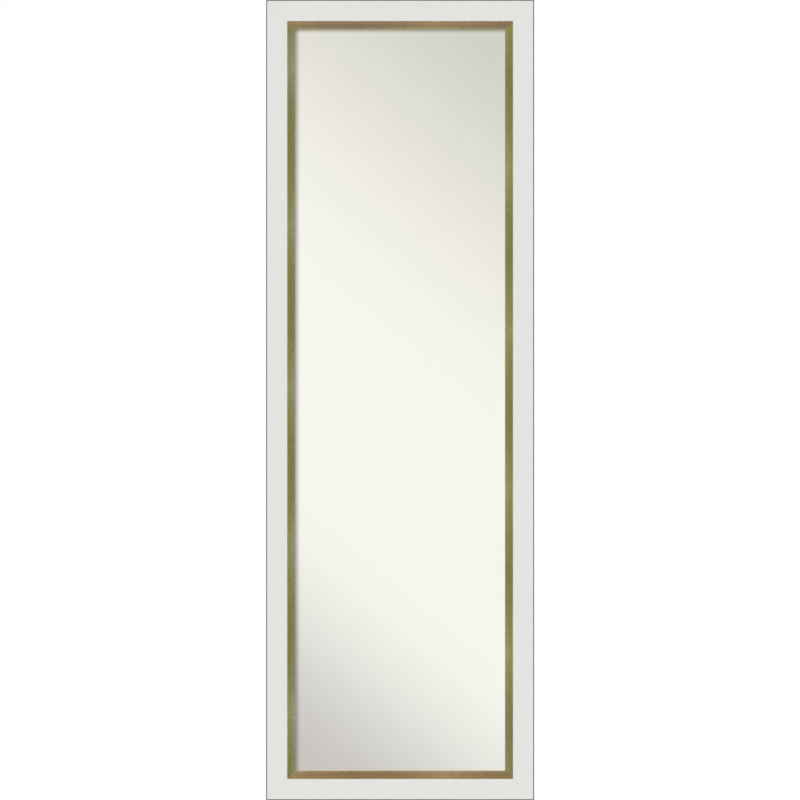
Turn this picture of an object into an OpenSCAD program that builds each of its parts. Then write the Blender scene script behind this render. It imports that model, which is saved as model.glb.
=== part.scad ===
// Full-length mirror that hangs over a door: a mitred white moulding with a gilt liner,
// a plain mirror plate in the liner's rabbet, and two slotted steel hooks that slide up
// from behind the top rail to set how low the mirror hangs.
//
// Frame: +Z up, the mirror faces -Y, the door is on the +Y side.
// Origin: middle of the door's top edge, on the face that the mirror hangs against. The
// hooks' pads rest on z = 0 and the bumpers touch y = 0. The hooks are drawn fully down.
// A moulding's section is drawn in (u, w): u runs inwards from the frame's outer edge,
// w runs from the frame's back plane towards the viewer.

/* [Mirror plate] */
// Width of the mirror plate
mirror_w = 355; // [280:1:500]
// Height of the mirror plate
mirror_h = 1219; // [900:1:1500]
// Thickness of the mirror plate
mirror_t = 3; // [2:0.5:5]
// Ground arris along the plate's edges
mirror_arris = 0.4; // [0.2:0.1:0.8]
// Thickness of the hardboard behind the plate
board_t = 3; // [2:0.5:5]
// How much shorter the hardboard is than the plate, at each edge
board_inset = 0.5; // [0:0.25:2]

/* [White moulding] */
// Width of the white face
face_w = 34.3; // [33:0.1:50]
// Depth of the frame from back plane to white face
frame_d = 20; // [18:0.5:32]
// Thickness of the lip that covers the liner's tongue
frame_lip = 5; // [3:0.5:7]
// Width of the rabbet that takes the liner's tongue
frame_rabbet = 6.5; // [5:0.5:8]
// Chamfer along the outer arris, painted with the sides
outer_chamfer = 1; // [0.4:0.1:2]
// Radius where the white face turns down to the liner
inner_round = 0.8; // [0.4:0.1:1.5]

/* [Gilt liner] */
// Width of gold between the white face and the sight edge
liner_sight = 12.7; // [11:0.1:20]
// How far the liner's shoulder stands below the white face
liner_step = 1; // [0.5:0.25:3]
// Width of the flat crest along that shoulder
liner_crest = 0.8; // [0.4:0.1:2]
// How far the plate's face lies behind the white face
glass_set = 8; // [7:0.5:11]
// Thickness of the liner's edge in front of the plate
liner_edge = 2.5; // [1.5:0.25:4]
// Width of the flat land along the sight edge
liner_land = 1.8; // [1:0.1:3]
// Radius of the land's nose
liner_nose = 0.8; // [0.3:0.1:1.2]
// Hollow of the scoop between shoulder and land
liner_hollow = 0.9; // [0.3:0.1:1.6]
// Width of the rabbet that takes the mirror plate
liner_rabbet = 8; // [6:0.5:9.5]
// How far the liner's back stands past the hardboard
liner_cover = 2.5; // [1.5:0.25:4.5]

/* [Clearances] */
// Play between the mirror plate and its rabbet wall
glass_play = 1; // [0.5:0.25:2]
// Play between the liner's tongue and the moulding's rabbet wall
tongue_play = 0.5; // [0.25:0.25:1.5]
// Shadow gap between the white moulding and the liner's shoulder
shoulder_gap = 0.3; // [0.1:0.1:0.8]
// Play between a hook screw and the sides of its slot
slot_play = 0.4; // [0.2:0.1:0.8]
// Clearance between the upper screw's head and the bend above it
head_gap = 0.8; // [0.4:0.2:2]
// Thickness of the adhesive film between a foam pad and its strap
pad_glue = 0.1; // [0.05:0.05:0.3]

/* [Hooks] */
// Distance from the frame's side to the middle of each hook
hook_inset = 75; // [65:1:120]
// Width of the steel strap
strap_w = 25; // [20:0.5:32]
// Thickness of the steel strap
strap_t = 1.6; // [1.2:0.1:2.5]
// Inside radius of the strap's bends
bend_r = 2; // [1:0.5:3.5]
// How far the hooks can be pulled up
hook_travel = 100; // [40:5:160]
// Strap left below the middle of the slot's lower end
strap_end = 12; // [8:1:20]
// Radius of the strap's corners
strap_corner = 5; // [2:0.5:8]
// Thickest door that the hook passes over
door_t = 36; // [30:0.5:50]
// Ease between that door and the hook's rear pad
door_ease = 1; // [0.5:0.5:4]
// Length of the rear leg down to its flare, from the top of the hook
rear_leg = 42; // [30:1:70]
// Length of the flared tip past its bend
flare_len = 8; // [6:0.5:14]
// Angle of the flared tip
flare_angle = 20; // [10:1:35]
// Thickness of the foam pads
pad_t = 1.5; // [1:0.25:3]
// Strap left bare beside each pad
pad_margin = 2; // [1:0.5:4]

/* [Hook screws] */
// Diameter of the screw's shank
screw_d = 4.2; // [3.5:0.1:5]
// Length of the screw under its head
screw_len = 14; // [10:0.5:16]
// Diameter of the screw's truss head
screw_head_d = 10; // [8:0.5:12]
// Height of the screw's head
screw_head_h = 2.2; // [1.6:0.1:2.6]
// Distance between the two screws of a hook
screw_pitch = 13; // [12.5:0.5:14]

/* [Door bumpers] */
// Diameter of each rubber bumper
bumper_d = 14; // [10:0.5:20]
// Thickness of each bumper, which holds the hook screws off the door
bumper_t = 5; // [4.5:0.5:8]
// Chamfer round the bumper's face
bumper_chamfer = 1.2; // [0.5:0.1:2]
// Distance from the frame's top or bottom to a bumper
bumper_inset = 70; // [50:1:150]

/* [Corner nails and glazing points] */
// Length of each leg of a V nail
nail_leg = 6; // [4:0.5:7]
// Thickness of a V nail's sheet steel
nail_t = 0.6; // [0.4:0.1:1]
// Height of a V nail
nail_h = 10; // [7:0.5:14]
// How far a V nail is driven below the back plane
nail_sink = 0.3; // [0.1:0.1:1]
// Width of a glazing point
point_w = 7; // [5:0.5:10]
// Thickness of a glazing point
point_t = 0.5; // [0.3:0.1:1]
// Length of a glazing point that is driven into the liner
point_in = 5; // [3:0.5:6.5]
// Length of a glazing point that stands out over the hardboard
point_out = 7.5; // [5:0.5:12]
// Greatest distance between glazing points
point_pitch = 170; // [100:5:250]

/* [Hidden] */
$fn = 64;
EPS = 0.01;

// Moulding section, from the back plane up and from the outer edge in
section_w = face_w + liner_sight;                // u of the sight edge
wood_w = face_w - frame_rabbet;                  // u of the moulding's rabbet wall
seat_w = frame_d - frame_lip;                    // w where the liner's tongue meets the lip
glass_w = frame_d - glass_set;                   // w of the plate's face
board_w = glass_w - mirror_t;                    // w of the hardboard's face
board_back = board_w - board_t;                  // w of the hardboard's back
liner_back = board_back - liner_cover;           // w of the liner's back
tongue_u = wood_w + tongue_play;                 // u of the tongue's outer side
shoulder_u = face_w + shoulder_gap;              // u of the shoulder's outer side
rabbet_u = section_w - liner_rabbet;             // u of the liner's rabbet wall

// Whole frame
sight_w = mirror_w + 2 * glass_play - 2 * liner_rabbet;
sight_h = mirror_h + 2 * glass_play - 2 * liner_rabbet;
frame_w = sight_w + 2 * section_w;
frame_h = sight_h + 2 * section_w;
back_y = -bumper_t;                              // y of the frame's back plane
pad_depth = pad_t + pad_glue;                    // from a strap to its pad's open face
top_z = strap_t + pad_depth;                     // the frame's top, level with the hooks
mid_z = top_z - frame_h / 2;
hook_x = frame_w / 2 - hook_inset;

// Hook, in its own frame: y from the frame's back plane, z from the frame's top
bend_out = bend_r + strap_t;                     // outside radius of the bends
rear_y = bumper_t + door_t + door_ease + pad_depth;  // inner face of the rear leg
screw_top = bend_out + screw_head_d / 2 + head_gap;
slot_bottom = screw_top + screw_pitch + hook_travel;
leg_len = slot_bottom + strap_end;
slot_w = screw_d + 2 * slot_play;
pad_w = strap_w - 2 * pad_margin;

// ---------------------------------------------------------------- placing

// Puts what is drawn along a bottom side, upwards from z = 0 about x = 0, on a side.
module on_side(side) {
    if (side == "bottom")
        translate([0, 0, top_z - frame_h]) children();
    if (side == "top")
        translate([0, 0, top_z]) rotate([0, 180, 0]) children();
    if (side == "left")
        translate([-frame_w / 2, 0, mid_z]) rotate([0, 90, 0]) children();
    if (side == "right")
        translate([frame_w / 2, 0, mid_z]) rotate([0, -90, 0]) children();
}

function side_length(side) = side == "bottom" || side == "top" ? frame_w : frame_h;

// Extrudes an (x, u) outline through the frame, from w0 to w1.
module through_frame(w0, w1) {
    translate([0, back_y - w0, 0]) rotate([90, 0, 0]) linear_extrude(height = w1 - w0) children();
}

// Extrudes a (u, w) section along a bottom side, mitred at both ends of its length.
module mitred_bar(length) {
    intersection() {
        translate([-length / 2, back_y, 0]) rotate([90, 0, 90])
            linear_extrude(height = length) rotate(90) children();
        through_frame(-1, frame_d + 1)
            polygon([
                [-length / 2, 0], [length / 2, 0],
                [length / 2 - section_w, section_w], [-length / 2 + section_w, section_w],
            ]);
    }
}

// ---------------------------------------------------------------- moulding and liner

// What a round of radius r takes off a square corner at [0, 0] that fills x < 0, y < 0.
module corner_waste(r) {
    difference() {
        translate([-r, -r]) square(r + 1);
        translate([-r, -r]) circle(r);
    }
}

module moulding_section() {
    difference() {
        polygon([
            [0, 0], [wood_w, 0], [wood_w, seat_w], [face_w, seat_w], [face_w, frame_d],
            [outer_chamfer, frame_d], [0, frame_d - outer_chamfer],
        ]);
        translate([face_w, frame_d]) corner_waste(inner_round);
    }
}

// The liner's scoop is an arc, as deep as liner_hollow, from its crest to its land.
module liner_section() {
    crest = [shoulder_u + liner_crest, frame_d - liner_step];
    land = [section_w - liner_land, glass_w + liner_edge];
    chord = norm(land - crest);
    out = [crest.y - land.y, land.x - crest.x] / chord;
    scoop_r = (pow(chord / 2, 2) + pow(liner_hollow, 2)) / (2 * liner_hollow);
    difference() {
        polygon([
            [tongue_u, liner_back], [rabbet_u, liner_back], [rabbet_u, glass_w],
            [section_w, glass_w], [section_w, land.y], land,
            crest, [shoulder_u, crest.y], [shoulder_u, seat_w], [tongue_u, seat_w],
        ]);
        translate((crest + land) / 2 + out * (scoop_r - liner_hollow))
            circle(scoop_r, $fn = 4 * $fn);
        translate([section_w, land.y]) corner_waste(liner_nose);
    }
}

module moulding(side) {
    color("whitesmoke")
        difference() {
            on_side(side) mitred_bar(side_length(side)) moulding_section();
            corner_nails(nail_sink + EPS);
            if (side == "top")
                for (x = [-hook_x, hook_x])
                    hook_screws(x);
        }
}

module liner(side) {
    color("darkgoldenrod")
        difference() {
            on_side(side) mitred_bar(side_length(side)) liner_section();
            on_side(side) side_points(side);
        }
}

// ---------------------------------------------------------------- plate and board

// A flat sheet in the liner's rabbet from w0 to w1, with an arris round both faces.
module sheet(width, height, w0, w1, arris) {
    module eased(size) {
        polygon([
            [-size / 2, w0 + arris], [-size / 2 + arris, w0],
            [size / 2 - arris, w0], [size / 2, w0 + arris],
            [size / 2, w1 - arris], [size / 2 - arris, w1],
            [-size / 2 + arris, w1], [-size / 2, w1 - arris],
        ]);
    }
    translate([0, back_y, mid_z])
        intersection() {
            translate([0, 0, -height / 2]) linear_extrude(height = height)
                mirror([0, 1]) eased(width);
            translate([-width / 2, 0, 0]) rotate([90, 0, 90]) linear_extrude(height = width)
                rotate(90) eased(height);
        }
}

module mirror_glass() {
    color("lightcyan") sheet(mirror_w, mirror_h, board_w, glass_w, mirror_arris);
}

module backing_board() {
    color("peru")
        sheet(mirror_w - 2 * board_inset, mirror_h - 2 * board_inset, board_back, board_w, 0.2);
}

// ---------------------------------------------------------------- nails and points

// One glazing point on a bottom side, its tip driven into the liner's rabbet wall.
module glazing_point() {
    shoulder = rabbet_u - point_in / 2;
    through_frame(board_back - point_t, board_back)
        polygon([
            [-point_w / 2, rabbet_u + point_out], [point_w / 2, rabbet_u + point_out],
            [point_w / 2, shoulder], [0, rabbet_u - point_in], [-point_w / 2, shoulder],
        ]);
}

// The points of one side, evenly spaced along the rabbet wall.
module side_points(side) {
    run = side_length(side) - 2 * rabbet_u;
    count = ceil(run / point_pitch);
    for (i = [0:count - 1])
        translate([run * ((i + 0.5) / count - 0.5), 0, 0]) glazing_point();
}

module glazing_points() {
    color("silver")
        for (side = ["top", "bottom", "left", "right"])
            on_side(side) side_points(side);
}

// A V nail whose point lies on the mitre at u, with a leg in each of the two bars.
module v_nail(u, above) {
    translate([u, -nail_h - nail_sink, u]) {
        cube([nail_leg, nail_h + above, nail_t]);
        cube([nail_t, nail_h + above, nail_leg]);
    }
}

// Two V nails across each mitre; above is how far they reach past their driven depth.
module corner_nails(above = 0) {
    for (x_side = [0, 1], z_side = [0, 1])
        translate([0, back_y, mid_z]) mirror([x_side, 0, 0]) mirror([0, 0, z_side])
            translate([-frame_w / 2, 0, -frame_h / 2])
                for (share = [0.15, 0.55])
                    v_nail(wood_w * share, above);
}

module corner_v_nails() {
    color("gray") corner_nails();
}

// ---------------------------------------------------------------- bumpers

// A rubber bumper behind a stile; x_side and z_side are -1 or 1, for left or right and
// bottom or top.
module bumper(x_side, z_side) {
    color("dimgray")
        translate([
            x_side * (frame_w - wood_w) / 2, back_y, mid_z + z_side * (frame_h / 2 - bumper_inset),
        ])
            rotate([-90, 0, 0]) {
                cylinder(d = bumper_d, h = bumper_t - bumper_chamfer);
                translate([0, 0, bumper_t - bumper_chamfer])
                    cylinder(d1 = bumper_d, d2 = bumper_d - 2 * bumper_chamfer, h = bumper_chamfer);
            }
}

// ---------------------------------------------------------------- hook screws

// A truss-head wood screw driven towards -Y, its head seated on the strap.
module hook_screw() {
    dome_r = (pow(screw_head_d / 2, 2) + pow(screw_head_h, 2)) / (2 * screw_head_h);
    tip = screw_d;
    recess = [screw_head_d * 0.45, screw_head_d * 0.1, screw_head_h];
    translate([0, strap_t, 0]) rotate([-90, 0, 0])
        difference() {
            union() {
                intersection() {
                    cylinder(d = screw_head_d, h = screw_head_h);
                    translate([0, 0, screw_head_h - dome_r]) sphere(r = dome_r);
                }
                translate([0, 0, tip - screw_len]) cylinder(d = screw_d, h = screw_len - tip + EPS);
                translate([0, 0, -screw_len]) cylinder(d1 = screw_d * 0.2, d2 = screw_d, h = tip);
            }
            for (turn = [0, 90])
                translate([0, 0, screw_head_h]) rotate(turn) cube(recess, center = true);
        }
}

module hook_screws(x) {
    color("silver")
        translate([x, back_y, top_z])
            for (z = [screw_top, screw_top + screw_pitch])
                translate([0, 0, -z]) hook_screw();
}

// ---------------------------------------------------------------- hooks

// A bend of the strap about an axis along X, from an angle in the (y, z) plane.
module strap_bend(y, z, from, turn) {
    translate([0, y, z]) rotate([90, 0, 90]) rotate(from)
        rotate_extrude(angle = turn)
            translate([bend_r, -strap_w / 2]) square([strap_t, strap_w]);
}

// Flat strap that hangs from just inside what ends at z = 0, down to rounded corners.
module strap_tail(length) {
    translate([0, strap_t, 0]) rotate([90, 0, 0]) linear_extrude(height = strap_t)
        difference() {
            translate([-strap_w / 2, -length]) square([strap_w, length + EPS]);
            for (x_side = [0, 1])
                mirror([x_side, 0]) translate([strap_w / 2, -length]) mirror([0, 1])
                    corner_waste(strap_corner);
        }
}

// The slot that slides over the two screws.
module strap_slot() {
    translate([0, strap_t + 1, 0]) rotate([90, 0, 0]) linear_extrude(height = strap_t + 2) {
        translate([-slot_w / 2, -slot_bottom]) square([slot_w, slot_bottom - screw_top]);
        translate([0, -screw_top]) circle(d = slot_w);
        translate([0, -slot_bottom]) circle(d = slot_w);
    }
}

// From the front leg over the door to the flared tip of the rear leg.
module hook(x) {
    flare_y = rear_y + strap_t + bend_r;
    color("gainsboro")
        translate([x, back_y, top_z])
            difference() {
                union() {
                    translate([0, 0, -bend_out]) strap_tail(leg_len - bend_out);
                    strap_bend(bend_out, -bend_out, 90, 90);
                    translate([-strap_w / 2, bend_out, -strap_t])
                        cube([strap_w, rear_y - bend_r - bend_out, strap_t]);
                    strap_bend(rear_y - bend_r, -bend_out, 0, 90);
                    translate([-strap_w / 2, rear_y, -rear_leg])
                        cube([strap_w, strap_t, rear_leg - bend_out]);
                    strap_bend(flare_y, -rear_leg, 180, flare_angle);
                    translate([0, flare_y, -rear_leg]) rotate([flare_angle, 0, 0])
                        translate([0, -bend_out, 0]) strap_tail(flare_len);
                }
                strap_slot();
            }
}

// Foam under the hook's top, which rests on the door's top edge.
module top_pad(x) {
    from = bend_out + pad_margin;
    to = rear_y - bend_r - pad_margin;
    color("darkslategray")
        translate([x - pad_w / 2, back_y + from, top_z - strap_t - pad_depth])
            cube([pad_w, to - from, pad_t]);
}

// Foam inside the rear leg, which faces the far side of the door.
module rear_pad(x) {
    color("darkslategray")
        translate([x - pad_w / 2, back_y + rear_y - pad_depth, top_z - rear_leg])
            cube([pad_w, pad_t, rear_leg - bend_out - pad_margin]);
}

// ---------------------------------------------------------------- nodes

moulding("top");  // rail_top
moulding("bottom");  // rail_bottom
moulding("left");  // stile_left
moulding("right");  // stile_right
liner("top");  // liner_top
liner("bottom");  // liner_bottom
liner("left");  // liner_left
liner("right");  // liner_right
mirror_glass();
backing_board();
glazing_points();
corner_v_nails();
bumper(-1, 1);  // bumper_top_left
bumper(1, 1);  // bumper_top_right
bumper(-1, -1);  // bumper_bottom_left
bumper(1, -1);  // bumper_bottom_right
hook_screws(-hook_x);  // hook_screws_left
hook_screws(hook_x);  // hook_screws_right
hook(-hook_x);  // hook_left
hook(hook_x);  // hook_right
top_pad(-hook_x);  // top_pad_left
top_pad(hook_x);  // top_pad_right
rear_pad(-hook_x);  // rear_pad_left
rear_pad(hook_x);  // rear_pad_right
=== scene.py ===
# %% [markdown]
# # A full-length mirror that hangs over a door
# The real thing is a tall, narrow mirror: a white moulding with mitred corners, a gilt liner
# tucked into its rabbet, a plain mirror plate, hardboard behind it, and two slotted steel hooks
# that go over the door. The solids come from the CAD model and stay where they are. This lesson
# gives them their finishes, and remakes the few pieces that deserve more detail than a solid has.

# %% Load the solids
import math

import bmesh
import bpy
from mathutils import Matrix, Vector


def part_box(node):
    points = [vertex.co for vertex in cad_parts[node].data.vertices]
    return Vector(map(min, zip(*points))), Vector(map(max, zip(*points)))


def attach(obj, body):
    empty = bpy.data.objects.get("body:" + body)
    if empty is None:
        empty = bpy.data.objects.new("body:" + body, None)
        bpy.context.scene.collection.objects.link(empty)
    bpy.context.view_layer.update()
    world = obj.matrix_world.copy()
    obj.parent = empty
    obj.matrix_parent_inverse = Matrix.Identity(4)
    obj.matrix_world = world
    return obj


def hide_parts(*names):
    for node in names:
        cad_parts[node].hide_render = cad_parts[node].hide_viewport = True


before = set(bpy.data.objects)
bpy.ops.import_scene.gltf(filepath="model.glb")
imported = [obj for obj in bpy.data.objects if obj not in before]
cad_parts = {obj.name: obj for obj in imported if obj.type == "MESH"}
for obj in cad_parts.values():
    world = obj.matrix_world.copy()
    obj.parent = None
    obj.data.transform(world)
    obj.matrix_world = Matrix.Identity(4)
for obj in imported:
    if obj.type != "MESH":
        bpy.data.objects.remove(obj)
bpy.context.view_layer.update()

scene = bpy.context.scene
scene.view_settings.view_transform = "Standard"
MM = 0.001

# %% [markdown]
# ## The sizes that everything else hangs on
# A finish needs to know where the frame ends: the black paint reaches a little way in from the
# outer edge, and the gilt gets greyer towards the glass. These places are read from the solids,
# so they can't drift from them. Names that end in _y are places along the depth, and names that
# end in _in are counted from the frame's outer edge inwards, as a frame maker does. Only five
# small values are written here, because no box gives them exactly: the play round the liner's
# tongue and round the plate, the thickness of the lip that covers the tongue and of the hooks'
# strap, and the width of a screw head.

# %% Places on the frame
half_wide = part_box("stile_right")[1].x
top_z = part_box("rail_top")[1].z
bottom_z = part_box("rail_bottom")[0].z
mid_z = (top_z + bottom_z) / 2
half_high = (top_z - bottom_z) / 2
tongue_play, plate_play, lip_thick = 0.5 * MM, 1 * MM, 5 * MM
strap_thick, head_wide = 1.6 * MM, 10 * MM
face_y, back_y = [corner.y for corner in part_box("rail_top")]
lip_y = face_y + lip_thick
liner_front_y, liner_back_y = [corner.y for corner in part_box("liner_left")]
plate_y, plate_back_y = [corner.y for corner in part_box("mirror_glass")]
board_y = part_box("backing_board")[1].y
face_in = top_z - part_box("rail_top")[0].z
tongue_in, sight_in = [corner.x + half_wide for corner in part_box("liner_left")]
wall_in = tongue_in - tongue_play
rabbet_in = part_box("mirror_glass")[0].x + half_wide - plate_play
hook_sides = [corner.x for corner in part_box("hook_right")]
hook_x = sum(hook_sides) / 2
hook_half = (hook_sides[1] - hook_sides[0]) / 2
print(f"frame {half_wide * 2:.4f} wide, {half_high * 2:.4f} high, middle at {mid_z:.4f}")
print(f"white to {face_in:.4f}, gold to {sight_in:.4f}, hooks at {hook_x:.4f}")

# %% [markdown]
# ## The camera
# The picture looks straight at the mirror, which fills it from top to bottom. A long lens from
# nine metres keeps the sides square and hides almost nothing of the plate behind the liner, as
# in the picture, and still gives each part of the plate its own direction of reflection. The
# lens follows from the distance and the frame's height. The picture's frame stands a sixth of a
# pixel right of the middle, so the camera stands a quarter of a millimetre to the left.

# %% Camera
stand_off, film_wide = 9.0, 36
eye = bpy.data.objects.new("eye", bpy.data.cameras.new("eye"))
eye.data.sensor_width = film_wide
eye.data.lens = film_wide * stand_off / (2 * half_high)
eye.location = (-0.25 * MM, face_y - stand_off, mid_z)
eye.rotation_euler = (math.radians(90), 0, 0)
scene.collection.objects.link(eye)
scene.camera = eye
print(f"lens {eye.data.lens:.1f} mm at {stand_off} m")

# %% [markdown]
# ## Small helpers for node trees
# Materials, the world and the makers of repeated pieces are all node trees. Two helpers do most
# of the work: one joins a socket or sets its plain value, and one adds a node. The others are
# the few nodes that come back all the time. Colours are written as they are seen on a screen,
# because that is how a finish is matched to a picture.

# %% Node helpers
def wire(tree, socket, value):
    """Links a socket to another one, or sets its plain value."""
    if isinstance(value, bpy.types.NodeSocket):
        tree.links.new(value, socket)
    else:
        socket.default_value = value


def put(tree, kind, wires=(), **settings):
    """Adds a node. wires is a list of its first inputs, or a dict by name or number."""
    made = tree.nodes.new(kind)
    for name, setting in settings.items():
        setattr(made, name, setting)
    pairs = wires.items() if isinstance(wires, dict) else enumerate(wires)
    for key, value in pairs:
        wire(tree, made.inputs[key], value)
    return made


def bare_tree(owner):
    """The emptied node tree of a material or of the world."""
    owner.use_nodes = True
    owner.node_tree.nodes.clear()
    return owner.node_tree


def seen(red, green, blue):
    """A colour given as 0 to 255 on a screen, as the linear colour that a shader wants."""
    shares = [c / 255 for c in (red, green, blue)]
    return (*[c / 12.92 if c <= 0.04045 else ((c + 0.055) / 1.055) ** 2.4 for c in shares], 1)


def sums(tree, operation, *values):
    """One Math node."""
    return put(tree, "ShaderNodeMath", values, operation=operation).outputs[0]


def between(tree, value, low, high, start=0.0, end=1.0):
    """Goes smoothly from start to end while value goes from low to high."""
    wires = {"Value": value, "From Min": low, "From Max": high, "To Min": start, "To Max": end}
    made = put(tree, "ShaderNodeMapRange", wires, interpolation_type="SMOOTHSTEP")
    return made.outputs["Result"]


def blend(tree, share, first, second, how="MIX"):
    """Mixes two colours."""
    made = put(tree, "ShaderNodeMix", {0: share, 6: first, 7: second}, data_type="RGBA",
               blend_type=how)
    return made.outputs[2]


def split(tree, vector):
    """The x, y and z of a vector."""
    return put(tree, "ShaderNodeSeparateXYZ", [vector]).outputs


def scaled(tree, vector, share):
    """A vector times a share, which also makes a colour darker or lighter."""
    return put(tree, "ShaderNodeVectorMath", {0: vector, 3: share}, operation="SCALE").outputs[0]


def noise(tree, place, scale, detail, **more):
    """Cloudy noise around 0.5; more may give its Roughness or its Distortion."""
    wires = {"Vector": place, "Scale": scale, "Detail": detail, **more}
    return put(tree, "ShaderNodeTexNoise", wires).outputs[0]


def from_axis(tree, spot):
    """How far a spot lies from the upright axis."""
    level = put(tree, "ShaderNodeVectorMath", [spot, (1, 1, 0)], operation="MULTIPLY").outputs[0]
    return put(tree, "ShaderNodeVectorMath", [level], operation="LENGTH").outputs["Value"]


print(f"middle grey on a screen is {seen(128, 128, 128)[0]:.3f} of the light")

# %% [markdown]
# ## Light
# A plain studio: even light from all round, one soft key lamp from the upper left, a weaker
# fill from the right and one behind. Sun lamps light a tall object evenly from end to end,
# which near lamps wouldn't, and a wide angle makes their shadows soft. Together they add up to
# a level of about 1 on the front, where a colour renders as it is written. Gloss doesn't see
# the lamps: a mirror would show each one as a blank white disc. It sees a painted room instead.

# %% Lamps
def soft_sun(name, towards, level, width):
    """A wide sun that shines along towards; level is what it adds to a face turned to it."""
    lamp = bpy.data.objects.new(name, bpy.data.lights.new(name, "SUN"))
    lamp.data.energy = level * math.pi
    lamp.data.angle = math.radians(width)
    lamp.visible_glossy = False
    lamp.rotation_euler = Vector(towards).to_track_quat("-Z", "Y").to_euler()
    scene.collection.objects.link(lamp)
    print(f"{name}: {level}")


soft_sun("key", (0.62, 1.0, -0.72), 0.34, 60)
soft_sun("fill", (-0.9, 0.8, 0.3), 0.16, 50)
soft_sun("back", (0.35, -1.0, -0.6), 0.45, 70)

# %% [markdown]
# ## What the mirror sees
# A silvered plate has no colour of its own: it shows the room. In the picture it shows a white
# room that is brightest along a slanting band and falls off softly to both corners, through a
# rosy grey to greenish at the upper right, and to a warm grey at the lower left. That belongs to
# the room, not to the plate, so it is put into the world that glossy rays see. A direction in
# the world tells where on the plate it is seen: its slopes to the side and up, times the
# distance, are the place on the plate. The band comes back round the room, wider and wider, so
# that the plate shows a sheen from any side. Behind the mirror, where the plate never looks,
# the room is brighter, for the steel hooks.

# %% World
ambient_level = 0.612
slant, lowest, highest = 0.829, -0.79, 0.81
scene.world = bpy.data.worlds.new("white studio")
sky = bare_tree(scene.world)
way = split(sky, put(sky, "ShaderNodeTexCoord").outputs["Generated"])
ahead = sums(sky, "MAXIMUM", sums(sky, "ABSOLUTE", way[1]), 0.12)
plate_span = (stand_off + plate_y - face_y) / (2 * half_high)
across = sums(sky, "MULTIPLY", sums(sky, "DIVIDE", way[0], ahead), plate_span)
upward = sums(sky, "MULTIPLY", sums(sky, "DIVIDE", way[2], ahead), plate_span)
slanting = sums(sky, "MULTIPLY_ADD", across, slant, upward)
far_off = sums(sky, "ABSOLUTE", slanting)
slower = sums(sky, "POWER", sums(sky, "MAXIMUM", far_off, 1.0), 0.75)
far_off = sums(sky, "ADD", sums(sky, "MINIMUM", far_off, 1.0), sums(sky, "SUBTRACT", slower, 1.0))
slanting = sums(sky, "MULTIPLY", far_off, sums(sky, "SIGN", slanting))
slanting = sums(sky, "WRAP", slanting, highest, lowest)
ROSY, GREENISH, WARM = (0.891, 0.866, 0.848, 1), (0.682, 0.7, 0.664, 1), (0.63, 0.607, 0.623, 1)
room = (1, 1, 1, 1)
for start, end, shade in ((0.061, 0.354, ROSY), (0.248, 0.575, GREENISH), (-0.225, -0.568, WARM),
                          (0.69, highest, WARM)):
    room = blend(sky, between(sky, slanting, start, end), room, shade)
towards_floor = between(sky, way[2], -0.6, -0.1, 0.62, 1.0)
overhead = between(sky, way[2], 0.5, 0.9, 1.0, 1.3)
aside = between(sky, sums(sky, "ABSOLUTE", across), 1.0, 7.0, 1.0, 0.85)
behind = sums(sky, "MULTIPLY_ADD", between(sky, way[1], 0.05, 0.4),
              between(sky, way[2], -0.5, 0.3, 0.05, 0.65), 1.0)
for tone in (towards_floor, overhead, aside, behind):
    room = scaled(sky, room, tone)
rays = put(sky, "ShaderNodeLightPath").outputs
clear = sums(sky, "MAXIMUM", rays["Is Camera Ray"], rays["Is Transmission Ray"])
plain = put(sky, "ShaderNodeBackground", [(1, 1, 1, 1), ambient_level])
mirrored = put(sky, "ShaderNodeBackground", [room, 1.0])
white = put(sky, "ShaderNodeBackground", [(1, 1, 1, 1), 1.0])
lit = put(sky, "ShaderNodeMixShader", [rays["Is Glossy Ray"], plain.outputs[0], mirrored.outputs[0]])
shown = put(sky, "ShaderNodeMixShader", [clear, lit.outputs[0], white.outputs[0]])
put(sky, "ShaderNodeOutputWorld", [shown.outputs[0]])
print("room nodes:", len(sky.nodes))

# %% [markdown]
# ## The floor
# A door is about two metres high, so the floor lies that far below its top edge. It is a pale
# disc that fades out at its rim, to leave no edge against the white, and keeps the object's
# shadow. From below it is clear, so that the underside of the mirror can be looked at. Shapes
# that are built by hand, like this disc, all end the same way, so a helper does that.

# %% Floor
def keep(name, shape):
    """Ends a hand-built shape: its mesh, in an object of its own."""
    made = bpy.data.objects.new(name, bpy.data.meshes.new(name))
    shape.to_mesh(made.data)
    shape.free()
    scene.collection.objects.link(made)
    return made


door_height, floor_r = 2.0, 3.7
disc = bmesh.new()
bmesh.ops.create_circle(disc, cap_ends=True, segments=96, radius=floor_r)
bmesh.ops.translate(disc, verts=disc.verts, vec=(0, 0, -door_height))
floor = keep("floor", disc)
floor_paint = bpy.data.materials.new("pale floor")
ground = bare_tree(floor_paint)
reach = from_axis(ground, put(ground, "ShaderNodeTexCoord").outputs["Object"])
gone = between(ground, reach, 1.2, floor_r - 0.1)
under = put(ground, "ShaderNodeNewGeometry").outputs["Backfacing"]
gone = sums(ground, "MAXIMUM", gone, under)
matt = put(ground, "ShaderNodeBsdfDiffuse", [(0.86, 0.86, 0.85, 1)])
clear_air = put(ground, "ShaderNodeBsdfTransparent")
floor_mix = put(ground, "ShaderNodeMixShader", [gone, matt.outputs[0], clear_air.outputs[0]])
put(ground, "ShaderNodeOutputMaterial", [floor_mix.outputs[0]])
floor.data.materials.append(floor_paint)
print("floor at", -door_height)

# %% [markdown]
# ## Effects that several finishes share
# Paint, board, metal and rubber all vary a little in tone, in gloss and in height. Each of
# these effects is a node group that is built once, with named inputs, and placed in every
# material that needs it with its own values. A group gives out only colours and plain values,
# such as masks and heights. The shader itself stays in the material.

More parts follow.
